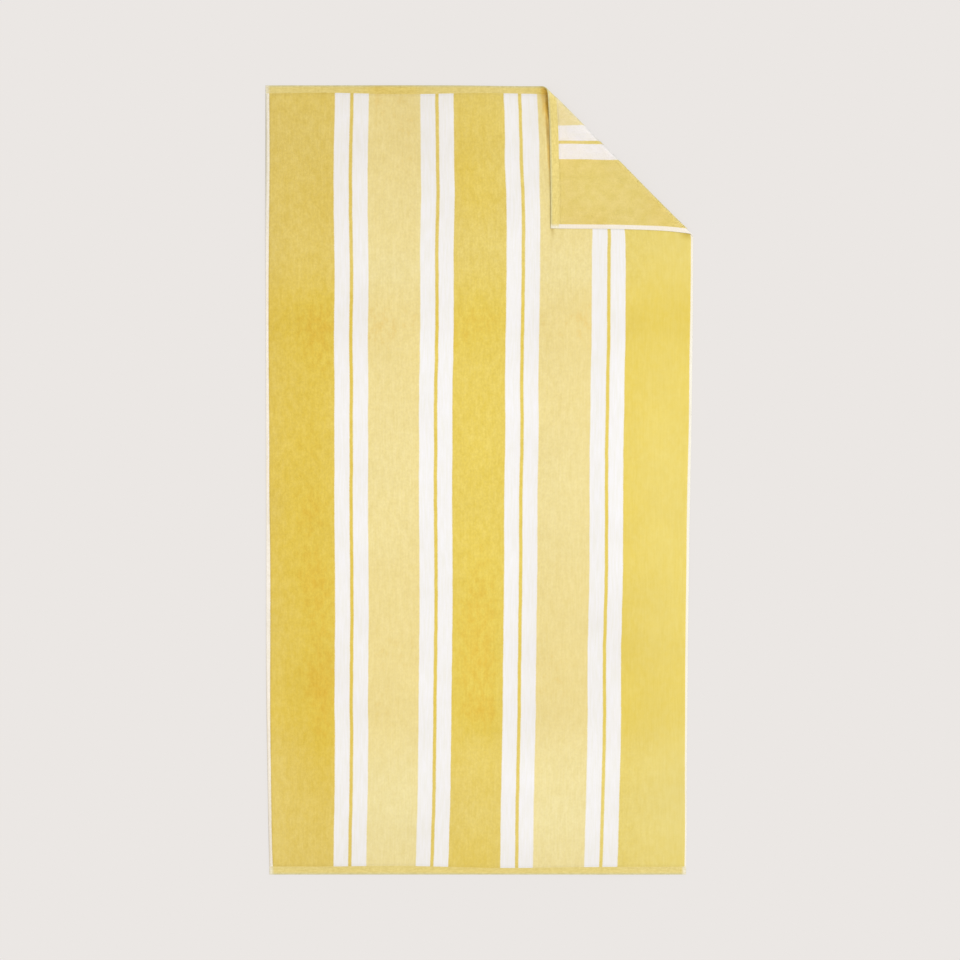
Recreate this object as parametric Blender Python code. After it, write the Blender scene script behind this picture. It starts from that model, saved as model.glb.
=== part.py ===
# A striped beach towel, laid flat with its velour face up and its far right corner turned over.
# It is one length of cotton: pile over nearly all of it, a flat-woven hem across each end and a narrow
# flat selvedge down each side. X runs across the towel, Y along it towards the far hem, Z up from the floor.
# The origin is on the floor, in the middle of the rectangle that the towel covers.
#
# A point of the towel has three places here: on the cloth (across from the left selvedge, down from the far
# hem), in plan (where it would lie with the corner not turned), and where it comes to lie once it is.

import math
from collections import namedtuple

import bmesh
import bpy
import numpy as np
from mathutils import Vector

# Driving dimensions, in metres.
LENGTH = 1.600
HEM = 0.0165
PILE_THICKNESS = 0.0034
HEM_THICKNESS = 0.0024
SELVEDGE_THICKNESS = 0.0021
PILE_STEP = 0.0018  # the pile rises to its full height over this much beside a hem or a selvedge
EDGE_BULGE = 0.0008  # the middle of each edge stands this far out past its two faces
LAYER_GAP = 0.0006  # between the turned corner and the cloth under it

# The warp stripes from the left selvedge to the middle one. The other side mirrors them.
Stripe = namedtuple("Stripe", "colour width columns")
SELVEDGE = Stripe("selvedge", 0.0060, 1)
OUTER_DEEP = Stripe("deep", 0.1305, 4)
WHITE_BY_DEEP = Stripe("white", 0.0295, 1)
THIN = Stripe("deep", 0.0072, 1)
WHITE_BY_PALE = Stripe("white", 0.0309, 1)
PALE = Stripe("pale", 0.1043, 3)
MIDDLE_DEEP = Stripe("deep", 0.1080, 3)
BAND = (WHITE_BY_DEEP, THIN, WHITE_BY_PALE)
HALF = (SELVEDGE, OUTER_DEEP, *BAND, PALE, *reversed(BAND))
STRIPES = (*HALF, MIDDLE_DEEP, *reversed(HALF))
WIDTH = sum(stripe.width for stripe in STRIPES)
ROWS = 31  # rows of faces between the two hems

# How the towel lies in plan: where its two long edges run, by distance down from the far hem.
Edges = namedtuple("Edges", "down left right")
LONG_EDGES = (
    Edges(0.000, -0.4336, 0.4336),
    Edges(0.325, -0.4334, 0.4336),
    Edges(0.640, -0.4329, 0.4305),
    Edges(0.943, -0.4323, 0.4250),
    Edges(1.247, -0.4317, 0.4216),
    Edges(1.409, -0.4293, 0.4202),
    Edges(1.510, -0.4275, 0.4200),
    Edges(1.600, -0.4255, 0.4188),
)

# Where the cloth stands a little off the floor, or the turned corner off the cloth under it.
# Each is a soft oval swell: its middle in plan, its half sizes along X and Y, and its height.
Swell = namedtuple("Swell", "x y half_x half_y height")
SWELLS = (
    Swell(0.245, -0.05, 0.085, 0.420, 0.0016),
    Swell(-0.095, 0.30, 0.110, 0.300, 0.0012),
    Swell(-0.330, -0.28, 0.150, 0.330, 0.0014),
    Swell(0.020, -0.52, 0.170, 0.220, 0.0013),
    Swell(-0.425, 0.52, 0.100, 0.200, 0.0020),
    Swell(-0.160, 0.80, 0.150, 0.120, 0.0016),
    Swell(0.290, -0.79, 0.160, 0.110, 0.0018),
    Swell(0.430, -0.22, 0.090, 0.180, 0.0015),
    Swell(0.355, 0.725, 0.070, 0.070, 0.0014),
)

# The turned corner. The fold runs at 45 degrees from the far hem down to the right edge. Its bend is a half
# circle, plump at the stiff hem and pinched at the right edge. nose is how far its outside lies from the origin,
# square to the fold. Turning the corner pulled the cloth along the fold by pull_x and pull_y.
Bend = namedtuple("Bend", "along radius nose pull_x pull_y")
BENDS = (
    Bend(0.000, 0.0090, 0.6582, -0.0058, -0.0016),
    Bend(0.100, 0.0070, 0.6583, -0.0108, -0.0084),
    Bend(0.215, 0.0054, 0.6580, -0.0100, -0.0122),
    Bend(0.330, 0.0044, 0.6572, -0.0104, -0.0108),
    Bend(0.385, 0.0037, 0.6575, -0.0068, -0.0070),
    Bend(0.430, 0.0030, 0.6584, 0.0000, 0.0000),
)
FOLD_START = -0.4726  # the far hem's end of the fold, measured down the fold from its point nearest the origin
PULL_REACH = 0.130  # the pull fades out this far back onto the towel
SETTLE_PER_RADIUS = 5.0  # the corner comes down from the bend onto the cloth over this many bend radii
OUTWARD = Vector((1, 1)) / math.sqrt(2)  # in plan, square to the fold, away from the towel
DOWN_FOLD = Vector((1, -1)) / math.sqrt(2)

# Lines of vertices that run down the fold: by share of the bend's half turn, then of the settling run past it.
BEND_LINES = [eighth / 8 for eighth in range(9)]
SETTLE_LINES = (0.2, 0.4, 0.6, 0.8, 1.0)
SNAP = 0.0009  # a line passes through a vertex that is this close to it
CREASE = math.radians(50)  # the cloth is shaded smooth over any edge less sharp than this

COLOURS = {
    "deep": ((0.745, 0.560, 0.115), 0.95),
    "pale": ((0.860, 0.725, 0.335), 0.95),
    "white": ((0.900, 0.880, 0.840), 0.95),
    "selvedge": ((0.905, 0.885, 0.850), 0.85),
    "hem": ((0.740, 0.600, 0.195), 0.80),
}


def curve_through(rows, key, value):
    """A smooth function of one column of a table, through its values in another."""
    at = np.array([getattr(row, key) for row in rows])
    values = np.array([getattr(row, value) for row in rows])
    slopes = np.gradient(values, at)

    def read(where):
        where = min(max(where, at[0]), at[-1])
        i = min(int(np.searchsorted(at, where, side="right")) - 1, len(at) - 2)
        run = at[i + 1] - at[i]
        t = (where - at[i]) / run
        near = (1 + 2 * t) * (1 - t) ** 2 * values[i] + t * (1 - t) ** 2 * run * slopes[i]
        far = t * t * (3 - 2 * t) * values[i + 1] - t * t * (1 - t) * run * slopes[i + 1]
        return float(near + far)

    return read


left_edge = curve_through(LONG_EDGES, "down", "left")
right_edge = curve_through(LONG_EDGES, "down", "right")
bend_radius = curve_through(BENDS, "along", "radius")
bend_nose = curve_through(BENDS, "along", "nose")
pull_x = curve_through(BENDS, "along", "pull_x")
pull_y = curve_through(BENDS, "along", "pull_y")


def ease(t):
    """0 to 1, level at both ends."""
    return (1 - math.cos(math.pi * min(max(t, 0), 1))) / 2


def leaves_floor(along):
    """How far out the bend starts, square to the fold."""
    return bend_nose(along) - bend_radius(along) - PILE_THICKNESS / 2


def plan_of(across, down):
    """Where a point of the cloth would lie with the corner not turned."""
    left, right = left_edge(down), right_edge(down)
    plan = Vector((left + (right - left) * across / WIDTH, LENGTH / 2 - down))
    along = plan.dot(DOWN_FOLD) - FOLD_START
    before = leaves_floor(along) - plan.dot(OUTWARD)
    return plan + Vector((pull_x(along), pull_y(along))) * ease(1 - before / PULL_REACH)


def thickness(across, down):
    """The cloth's thickness, which steps down to the hems and the selvedges."""
    past_hem = ease((min(down, LENGTH - down) - HEM) / PILE_STEP)
    past_selvedge = ease((min(across, WIDTH - across) - SELVEDGE.width) / PILE_STEP)
    beside_hem = HEM_THICKNESS + (PILE_THICKNESS - HEM_THICKNESS) * past_hem
    beside_selvedge = SELVEDGE_THICKNESS + (PILE_THICKNESS - SELVEDGE_THICKNESS) * past_selvedge
    return min(beside_hem, beside_selvedge)


def swell(plan):
    """How far the cloth stands up at a point of the plan."""
    height = 0.0
    for each in SWELLS:
        away = math.hypot((plan.x - each.x) / each.half_x, (plan.y - each.y) / each.half_y)
        height += each.height * ease(1 - away)
    return height


def bend_line(radius, beyond):
    """The section through the fold: a point on the middle of the cloth and its face's normal, as (out, up) pairs.

    beyond is the length of cloth past the place where it leaves the floor.
    """
    floor = PILE_THICKNESS / 2
    turned = math.pi * radius
    if beyond <= 0:
        return (beyond, floor), (0, 1)
    if beyond <= turned:
        angle = beyond / radius
        middle = (radius * math.sin(angle), floor + radius * (1 - math.cos(angle)))
        return middle, (-math.sin(angle), math.cos(angle))
    run = SETTLE_PER_RADIUS * radius
    drop = 2 * radius - PILE_THICKNESS - LAYER_GAP
    slack = (math.pi * drop) ** 2 / (16 * run)  # the sloping cloth is longer than its run by this much
    back = beyond - turned
    back = back * run / (run + slack) if back < run + slack else back - slack
    slope = -drop * math.pi / (2 * run) * math.sin(math.pi * min(back / run, 1))
    middle = (-back, floor + 2 * radius - drop * ease(back / run))
    return middle, (-slope / math.hypot(1, slope), -1 / math.hypot(1, slope))


def lay(plan, thick, side):
    """Where a point comes to lie. side is 1 on the cloth's face, -1 on its back and 0 between them."""
    along = plan.dot(DOWN_FOLD) - FOLD_START
    start = leaves_floor(along)
    (out, up), (normal_out, normal_up) = bend_line(bend_radius(along), plan.dot(OUTWARD) - start)
    # Thin cloth lies on what is under it, so its middle is lower than the middle of the pile.
    offset = side * thick / 2 - (PILE_THICKNESS - thick) / 2 * normal_up
    flat = OUTWARD * (start + out + normal_out * offset) + DOWN_FOLD * (along + FOLD_START)
    return Vector((flat.x, flat.y, up + normal_up * offset + swell(plan)))


def lines_along_cloth():
    """(across, colour to its right) of each line of vertices that runs along the towel."""
    lines, at = [], 0.0
    for stripe in STRIPES:
        lines += [(at + stripe.width * i / stripe.columns, stripe.colour) for i in range(stripe.columns)]
        at += stripe.width
    beside_selvedges = SELVEDGE.width + PILE_STEP
    lines += [(beside_selvedges, "deep"), (WIDTH - beside_selvedges, "deep"), (WIDTH, "selvedge")]
    return sorted(lines)


def lines_across_cloth():
    """Distances down from the far hem's edge of the lines of vertices that run across the towel."""
    inner = np.linspace(HEM + PILE_STEP, LENGTH - HEM - PILE_STEP, ROWS + 1)
    return [0.0, HEM, *inner.tolist(), LENGTH - HEM, LENGTH]


def flat_towel():
    """The towel in plan as one layer of faces. Each vertex also holds its place on the cloth."""
    flat = bmesh.new()
    place = flat.verts.layers.float_vector.new("place on the cloth")
    along, names = lines_along_cloth(), list(COLOURS)
    grid = []
    for down in lines_across_cloth():
        row = []
        for across, _ in along:
            vert = flat.verts.new((*plan_of(across, down), 0))
            vert[place] = (across, down, 0)
            row.append(vert)
        grid.append(row)
    for i, (far, near) in enumerate(zip(grid, grid[1:])):
        for j, (_, colour) in enumerate(along[:-1]):
            face = flat.faces.new((far[j], near[j], near[j + 1], far[j + 1]))
            face.material_index = names.index("hem" if i in (0, len(grid) - 2) else colour)
    return flat


def cut_bend_lines(flat):
    """Adds the lines of vertices that run down the fold, straight from one end of it to the other."""
    shares = [(turn, 0) for turn in BEND_LINES] + [(1, settle) for settle in SETTLE_LINES]
    for turn, settle in shares:
        ends = []
        for bend in (BENDS[0], BENDS[-1]):
            beyond = bend.radius * (math.pi * turn + SETTLE_PER_RADIUS * settle)
            ends.append(OUTWARD * (leaves_floor(bend.along) + beyond) + DOWN_FOLD * (bend.along + FOLD_START))
        run = ends[1] - ends[0]
        bmesh.ops.bisect_plane(
            flat,
            geom=flat.verts[:] + flat.edges[:] + flat.faces[:],
            dist=SNAP,
            plane_co=(*ends[0], 0),
            plane_no=(-run.y, run.x, 0),
        )


def steps_inward(flat):
    """For each vertex on the outline, how far the cloth's two faces stand in from the middle of the edge."""
    squares = {}
    for edge in flat.edges:
        if not edge.is_boundary:
            continue
        start, end = (vert.co.xy for vert in edge.verts)
        square = (end - start).orthogonal().normalized()
        if square.dot(edge.link_faces[0].calc_center_median().xy - start) < 0:
            square = -square
        for vert in edge.verts:
            squares.setdefault(vert, []).append(square)
    steps = {}
    for vert, (first, second) in squares.items():
        corner = first.dot(second) < 0.5  # the two edges that meet here turn by more than 60 degrees
        steps[vert] = (first + second) * EDGE_BULGE / (1 if corner else 2)
    return steps


def closed_towel(flat):
    """Both faces and the edge of the laid towel, as one closed mesh."""
    solid = bmesh.new()
    place = flat.verts.layers.float_vector["place on the cloth"]
    inward = steps_inward(flat)
    face_side, back_side, edge_middle = {}, {}, {}
    for vert in flat.verts:
        plan, thick = vert.co.xy, thickness(*vert[place].xy)
        stepped = plan + inward.get(vert, Vector((0, 0)))
        face_side[vert] = solid.verts.new(lay(stepped, thick, 1))
        back_side[vert] = solid.verts.new(lay(stepped, thick, -1))
        if vert in inward:
            edge_middle[vert] = solid.verts.new(lay(plan, thick, 0))
    for face in flat.faces:
        for side, order in ((face_side, 1), (back_side, -1)):
            made = solid.faces.new([side[vert] for vert in face.verts][::order])
            made.material_index = face.material_index
    for edge in flat.edges:
        if not edge.is_boundary:
            continue
        loop = edge.link_loops[0]
        start, end = loop.vert, loop.link_loop_next.vert
        for upper, lower in ((face_side, edge_middle), (edge_middle, back_side)):
            made = solid.faces.new((upper[end], upper[start], lower[start], lower[end]))
            made.material_index = loop.face.material_index
    return solid


def cotton(name, colour, roughness):
    material = bpy.data.materials.new(name)
    material.use_nodes = True
    shader = material.node_tree.nodes["Principled BSDF"]
    shader.inputs["Base Color"].default_value = (*colour, 1)
    shader.inputs["Roughness"].default_value = roughness
    shader.inputs["Metallic"].default_value = 0
    return material


def towel():
    flat = flat_towel()
    cut_bend_lines(flat)
    solid = closed_towel(flat)
    bmesh.ops.triangulate(solid, faces=solid.faces[:])
    mesh = bpy.data.meshes.new("towel")
    solid.to_mesh(mesh)
    flat.free()
    solid.free()
    for name, (colour, roughness) in COLOURS.items():
        mesh.materials.append(cotton(f"cotton {name}", colour, roughness))
    mesh.shade_smooth()
    mesh.set_sharp_from_angle(angle=CREASE)
    made = bpy.data.objects.new("towel", mesh)
    bpy.context.scene.collection.objects.link(made)


for old in list(bpy.data.objects):
    bpy.data.objects.remove(old, do_unlink=True)
towel()
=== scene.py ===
import math

import bmesh
import bpy
import numpy as np
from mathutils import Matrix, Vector


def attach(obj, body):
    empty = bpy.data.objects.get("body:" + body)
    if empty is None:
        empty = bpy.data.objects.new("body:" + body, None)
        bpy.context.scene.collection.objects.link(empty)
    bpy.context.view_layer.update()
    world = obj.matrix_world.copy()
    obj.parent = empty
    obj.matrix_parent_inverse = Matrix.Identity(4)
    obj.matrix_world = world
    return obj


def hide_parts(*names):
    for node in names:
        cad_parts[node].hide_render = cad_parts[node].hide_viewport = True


# Striped beach towel, lying flat with its velour side up and the far right corner turned over.
# Places on the cloth are given as across (from the left selvedge) and down (from the far hem), in metres.

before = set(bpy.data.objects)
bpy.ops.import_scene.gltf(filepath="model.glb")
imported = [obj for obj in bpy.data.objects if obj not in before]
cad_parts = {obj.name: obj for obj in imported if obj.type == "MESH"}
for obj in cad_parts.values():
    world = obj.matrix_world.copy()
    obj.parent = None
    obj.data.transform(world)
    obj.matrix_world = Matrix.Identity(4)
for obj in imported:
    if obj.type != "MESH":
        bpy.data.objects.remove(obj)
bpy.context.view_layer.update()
print("frame loaded")

towelLength = 1.600
towelCut = {
    "hem": 0.0165,
    "pile": 0.0034,  # thickness of the cloth over its pile
    "hemThickness": 0.0024,
    "selvedgeThickness": 0.0021,
    "pileStep": 0.0018,
    "rimBulge": 0.0008,
    "layerGap": 0.0006,
}

# warp stripes from the left selvedge to the middle stripe, mirrored after it
warpStripes = [
    ("selvedge", 0.0060), ("deep", 0.1302),
    ("white", 0.0302), ("deep", 0.0069), ("white", 0.0308), ("pale", 0.1048),
    ("white", 0.0301), ("deep", 0.0070), ("white", 0.0303), ("deep", 0.1074),
]
halfWidth = sum(size for _, size in warpStripes) - warpStripes[-1][1] / 2
towelWidth = 2 * halfWidth

# where the two long edges run in plan
longEdges = {
    "down": [0.000, 0.325, 0.640, 0.943, 1.247, 1.409, 1.510, 1.600],
    "left": [-0.4336, -0.4334, -0.4329, -0.4323, -0.4317, -0.4293, -0.4275, -0.4255],
    "right": [0.4336, 0.4337, 0.4309, 0.4254, 0.4220, 0.4206, 0.4203, 0.4190],
}

# how far each band of white and thin stripes wanders sideways between those edges, in millimetres
stripeWander = {
    "down": [0.00, 0.09, 0.15, 0.23, 0.31, 0.40, 0.50, 0.60, 0.72,
             0.84, 0.96, 1.05, 1.13, 1.25, 1.37, 1.45, 1.60],
    "left": [4.8, 2.2, 1.1, 1.0, 2.4, 3.1, 1.8, 2.6, 2.8, 2.9, 4.0, 5.0, 4.8, 3.7, 2.8, 0.6, -4.3],
    "innerLeft": [2.1, 2.8, 3.3, 4.3, 2.2, 2.3, 2.5, 0.6, 0.7, 1.2, 3.0, 3.7, 3.1, 1.9, -0.1, -1.7, -8.0],
    "innerRight": [-1.8, -2.2, -3.4, 0.4, 0.9, 0.6, -0.3, -1.2, 0.5,
                   -0.8, 0.2, 0.0, -0.6, -1.0, -3.0, -5.6, -6.8],
    "right": [0.5, -0.7, -0.8, 0.6, 0.9, 0.2, 0.9, -0.4, -0.7, 0.3, 1.8, 1.4, -0.4, 0.5, -0.3, -2.9, -6.5],
}
thinStripe = 0.020  # a deep stripe narrower than this marks the middle of a band

# where the turned corner pushed the stripes aside: middle, half sizes and move, in metres
stripePushes = [
    (0.5516, 0.09, 0.028, 0.135, 0.006),
]

# the width of each hem, in millimetres; stitching drew them in a little unevenly
hemWidths = {
    "across": [0.000, 0.150, 0.195, 0.325, 0.360, 0.500, 0.540, 0.680, 0.720, 0.860],
    "far": [16.5, 15.4, 16.7, 17.6, 16.7, 15.2, 15.7, 17.7, 17.7, 17.3],
    "near": [16.5, 16.6, 17.2, 16.9, 16.2, 13.4, 13.6, 15.5, 15.9, 16.2],
    "reach": 0.040,  # how far into the pile the unevenness goes
}

# how much of each selvedge the pile leaves bare, in millimetres
selvedgeShown = {
    "down": [0.00, 0.15, 0.34, 0.44, 0.54, 0.70, 0.84, 0.95, 1.15, 1.28, 1.45, 1.56, 1.60],
    "left": [7.6, 8.2, 6.6, 5.8, 5.8, 6.8, 6.9, 8.3, 8.5, 7.5, 6.9, 6.9, 8.0],
    "right": [5.0, 4.7, 4.2, 4.6, 5.6, 5.3, 6.0, 5.3, 5.2, 4.5, 3.7, 3.3, 3.4],
}

# soft oval rises of the cloth: middle, half sizes and height in metres
rises = [
    (0.245, -0.05, 0.085, 0.42, 0.0016),
    (-0.095, 0.3, 0.11, 0.3, 0.0012),
    (-0.33, -0.28, 0.15, 0.33, 0.0014),
    (0.02, -0.52, 0.17, 0.22, 0.0013),
    (-0.425, 0.52, 0.1, 0.2, 0.002),
    (-0.16, 0.8, 0.15, 0.12, 0.0016),
    (0.29, -0.79, 0.16, 0.11, 0.0018),
    (0.43, -0.22, 0.09, 0.18, 0.0015),
    (0.355, 0.725, 0.07, 0.07, 0.0014),
]

# the bend of the turned corner, by distance along the fold, and how far it pulled the cloth
cornerBend = {
    "along": [0.000, 0.100, 0.215, 0.330, 0.385, 0.430],
    "radius": [0.0090, 0.0070, 0.0054, 0.0044, 0.0037, 0.0030],
    "nose": [0.6582, 0.6583, 0.6580, 0.6572, 0.6575, 0.6584],
    "pullX": [-0.0058, -0.0108, -0.0100, -0.0104, -0.0076, -0.0004],
    "pullY": [-0.0016, -0.0074, -0.0110, -0.0098, -0.0064, 0.0],
    "start": -0.4726,
    "pullReach": 0.130,
    "settlePerRadius": 5.0,
}

root2 = math.sqrt(2)


def smoothCurve(at, values):
    at, values = np.array(at), np.array(values)
    slopes = np.gradient(values, at)

    def read(where):
        where = np.clip(where, at[0], at[-1])
        i = np.clip(np.searchsorted(at, where, side="right") - 1, 0, len(at) - 2)
        run = at[i + 1] - at[i]
        t = (where - at[i]) / run
        near = (1 + 2 * t) * (1 - t) ** 2 * values[i] + t * (1 - t) ** 2 * run * slopes[i]
        return near + t * t * (3 - 2 * t) * values[i + 1] - t * t * (1 - t) * run * slopes[i + 1]

    return read


def columns(table, key, *names):
    # smooth curves through a table's named columns
    return [smoothCurve(table[key], table[name]) for name in names]


leftEdge, rightEdge = columns(longEdges, "down", "left", "right")
bandWander = columns(stripeWander, "down", "left", "innerLeft", "innerRight", "right")
farHem, nearHem = columns(hemWidths, "across", "far", "near")
leftBare, rightBare = columns(selvedgeShown, "down", "left", "right")
bendRadius, bendNose, pullX, pullY = columns(cornerBend, "along", "radius", "nose", "pullX", "pullY")


def eased(t):
    return (1 - np.cos(np.pi * np.clip(t, 0, 1))) / 2


def softOval(u, v, middleU, middleV, halfU, halfV):
    # 1 in the middle of an oval, 0 outside it
    return eased(1 - np.hypot((u - middleU) / halfU, (v - middleV) / halfV))


def bandMiddles():
    at, middles = 0.0, []
    for name, size in warpStripes:
        if name == "deep" and size < thinStripe:
            middles.append(at + size / 2)
        at += size
    return middles + [towelWidth - m for m in reversed(middles)]


def sideways(across, down):
    # the wander of the bands, carried over to the cloth between them and fading to nothing at the edges
    stops = np.array([0.0, *bandMiddles(), towelWidth])
    moves = np.zeros((len(stops), len(down)))
    for i, wander in enumerate(bandWander):
        moves[i + 1] = wander(down) / 1000
    i = np.clip(np.searchsorted(stops, across, side="right") - 1, 0, len(stops) - 2)
    t = eased((across - stops[i]) / (stops[i + 1] - stops[i]))
    each = np.arange(len(across))
    moved = moves[i, each] * (1 - t) + moves[i + 1, each] * t
    for *oval, push in stripePushes:
        moved += push * softOval(across, down, *oval)
    return moved


def hemShift(across, down):
    # moves the cloth beside each hem to that hem's own width
    hem, reach = towelCut["hem"], hemWidths["reach"]

    def share(fromEnd):
        return np.minimum(eased(fromEnd / hem), eased(1 - (fromEnd - hem) / reach))

    far = (farHem(across) / 1000 - hem) * share(down)
    near = (nearHem(across) / 1000 - hem) * share(towelLength - down)
    return far - near


def leavesFloor(along):
    return bendNose(along) - bendRadius(along) - towelCut["pile"] / 2


def foldPlace(x, y):
    # how far along the fold a place lies, where the cloth leaves the floor there, and how far beyond that
    along = (x - y) / root2 - cornerBend["start"]
    start = leavesFloor(along)
    return along, start, (x + y) / root2 - start


def planOf(across, down):
    left, right = leftEdge(down), rightEdge(down)
    x = left + (right - left) * across / towelWidth + sideways(across, down)
    y = towelLength / 2 - down - hemShift(across, down)
    along, _, beyond = foldPlace(x, y)
    pulled = eased(1 + beyond / cornerBend["pullReach"])
    return x + pullX(along) * pulled, y + pullY(along) * pulled


def riseAt(x, y):
    height = np.zeros_like(x)
    for *oval, top in rises:
        height += top * softOval(x, y, *oval)
    return height


def bendLine(radius, beyond):
    # section through the fold: the middle of the cloth, out and up, and the normal of its face there
    floor = towelCut["pile"] / 2
    turned = np.pi * radius
    angle = np.clip(beyond / radius, 0, np.pi)
    out = radius * np.sin(angle)
    up = floor + radius * (1 - np.cos(angle))
    normalOut, normalUp = -np.sin(angle), np.cos(angle)

    run = cornerBend["settlePerRadius"] * radius
    drop = 2 * radius - towelCut["pile"] - towelCut["layerGap"]
    slack = (np.pi * drop) ** 2 / (16 * run)
    back = beyond - turned
    back = np.where(back < run + slack, back * run / (run + slack), back - slack)
    slope = -drop * np.pi / (2 * run) * np.sin(np.pi * np.clip(back / run, 0, 1))
    steep = np.hypot(1, slope)

    flatPart, settled = beyond <= 0, beyond > turned
    out = np.where(flatPart, beyond, np.where(settled, -back, out))
    up = np.where(settled, floor + 2 * radius - drop * eased(back / run), up)
    normalOut = np.where(settled, -slope / steep, normalOut)
    normalUp = np.where(settled, -1 / steep, normalUp)
    return out, up, normalOut, normalUp


def lay(x, y, thick, side, lift=0.0):
    # side is 1 on the velour face, -1 on the looped back; lift stands off that surface
    along, start, beyond = foldPlace(x, y)
    out, up, normalOut, normalUp = bendLine(bendRadius(along), beyond)
    offset = side * thick / 2 - (towelCut["pile"] - thick) / 2 * normalUp + np.sign(side) * lift
    flat, down = start + out + normalOut * offset, along + cornerBend["start"]
    return np.stack([(flat + down) / root2, (flat - down) / root2, up + normalUp * offset + riseAt(x, y)], -1)


pileRelief = {
    "loopGround": 0.0005,  # how far the cloth lies below the tops of its loops, where they are modelled
    "selvedgeOnBack": 0.0084,
    "grooveDepth": 0.0007,  # the bare cloth between hem and pile
    "grooveWidth": 0.0024,
    "seamInset": 0.0022,  # from the hem's inner edge to its stitches
    "seamDip": 0.0004,
    "seamWidth": 0.0026,
    "unevenness": 0.00022,
    "bumps": ((1.0, 0.011, 3), (0.6, 0.029, 4)),  # strength, grain and seed of each noise
    "edgeWaver": 0.00035,
    "wavers": ((1.0, 0.034, 8), (0.7, 0.009, 9)),
}
noiseSpan = 1.8  # a square that covers the towel,
noiseMargin = 0.05  # and starts this far outside it


def softNoise(u, v, size, seed):
    # smooth value noise over the cloth, from -1 to 1; size is its grain in metres
    cells = int(noiseSpan / size) + 4
    lattice = np.random.default_rng(seed).uniform(-1, 1, (cells, cells))
    u, v = (u + noiseMargin) / size, (v + noiseMargin) / size
    i, j = u.astype(int), v.astype(int)
    s, t = eased(u - i), eased(v - j)
    near = lattice[i, j] * (1 - s) + lattice[i + 1, j] * s
    far = lattice[i, j + 1] * (1 - s) + lattice[i + 1, j + 1] * s
    return near * (1 - t) + far * t


def softNoises(across, down, noises):
    return sum(strength * softNoise(across, down, size, seed) for strength, size, seed in noises)


def fromEnds(down):
    return np.minimum(down, towelLength - down)


def pastSelvedge(across, down, onBack):
    # how far a place lies inside the bare edge, below 0 on it
    if onBack:
        return np.minimum(across, towelWidth - across) - pileRelief["selvedgeOnBack"]
    return np.minimum(across - leftBare(down) / 1000, towelWidth - across - rightBare(down) / 1000)


def turnShare(across, down):
    # how far round the bend a place lies: 0 where the cloth leaves the floor, 1 where it is right over
    along, _, beyond = foldPlace(*planOf(across, down))
    return beyond / (np.pi * bendRadius(along))


def thicknessOf(across, down, onBack):
    fromHem = fromEnds(down) - towelCut["hem"]
    fromSelvedge = pastSelvedge(across, down, onBack)
    step, pile = towelCut["pileStep"], towelCut["pile"]
    grooved = 1 - np.abs(fromHem / pileRelief["grooveWidth"] * 2 - 1)
    sewn = 1 - np.abs((fromHem + pileRelief["seamInset"]) / pileRelief["seamWidth"] * 2)
    byHem = towelCut["hemThickness"] + (pile - towelCut["hemThickness"]) * eased((fromHem - step / 2) / step)
    byHem = byHem - pileRelief["grooveDepth"] * eased(grooved) - pileRelief["seamDip"] * eased(sewn)
    thin = towelCut["selvedgeThickness"]
    bySelvedge = thin + (pile - thin) * eased(fromSelvedge / step)
    onPile = eased(fromHem / step - 1) * eased(fromSelvedge / step)
    bumps = softNoises(across, down, pileRelief["bumps"])
    thick = np.minimum(byHem, bySelvedge) + pileRelief["unevenness"] * bumps * onPile
    if onBack:  # down to the loops' ground within the first quarter of the bend
        thick -= pileRelief["loopGround"] * onPile * eased(turnShare(across, down) * 4)
    return thick


towelMesh = {
    "name": "stripedTowel",
    "columnPitch": 0.0059,
    "rowPitch": 0.0060,
    "moreColumns": (0.5660, 0.5700, 0.5740, 0.5780),  # beside the turned corner's free edge
    "selvedgeStops": (0, 0.0020, 0.0040, 0.0053, 0.0062, 0.0071, 0.0084, 0.0093, 0.0102, 0.0116),
    "wovenEdge": 0.0020,  # the face's outermost columns are bare weave all the way down
    "rimAngles": (55, 20, -20, -55),  # points round the rim between the face (90) and the back (-90)
    "rimRadius": 0.0011,  # how the finishes run round the rim,
    "rimLength": 0.0035,  # and how far that is
    "bendLines": 16,
    "settleLines": 10,
    "bendFrom": 0.60,  # square to the fold, the bend and what settles beside it lie past this
    "snap": 0.0007,
}
bakeMargin = 0.015  # round each side of the towel in the map for baking


def gridLines(edgeStops, full, pitch):
    # lines at the given distances from both edges, and evenly spaced ones between
    inner = np.linspace(edgeStops[-1], full - edgeStops[-1], int((full - 2 * edgeStops[-1]) / pitch) + 1)
    return [*edgeStops[:-1], *inner.tolist(), *(full - s for s in reversed(edgeStops[:-1]))]


def flatCloth():
    hem, step = towelCut["hem"], towelCut["pileStep"]
    seam, seamHalf = hem - pileRelief["seamInset"], pileRelief["seamWidth"] / 2
    hemStops = [0, hem / 4, hem / 2, seam - seamHalf, seam, seam + seamHalf, hem]
    hemStops += [hem + step * rise for rise in (0.5, 1.0, 1.5)]
    lines = gridLines(towelMesh["selvedgeStops"], towelWidth, towelMesh["columnPitch"])
    lines = sorted([*lines, *towelMesh["moreColumns"]])
    rows = gridLines(hemStops, towelLength, towelMesh["rowPitch"])
    across, down = np.meshgrid(lines, rows)
    x, y = planOf(across.ravel(), down.ravel())
    flat = bmesh.new()
    place = flat.verts.layers.float_vector.new("place")
    grid = []
    for px, py, a, d in zip(x, y, across.ravel(), down.ravel()):
        vert = flat.verts.new((px, py, 0))
        vert[place] = (a, d, 0)
        grid.append(vert)
    wide = len(lines)
    for i in range(len(rows) - 1):
        for j in range(wide - 1):
            k = i * wide + j
            flat.faces.new((grid[k], grid[k + wide], grid[k + wide + 1], grid[k + 1]))
    return flat


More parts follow.
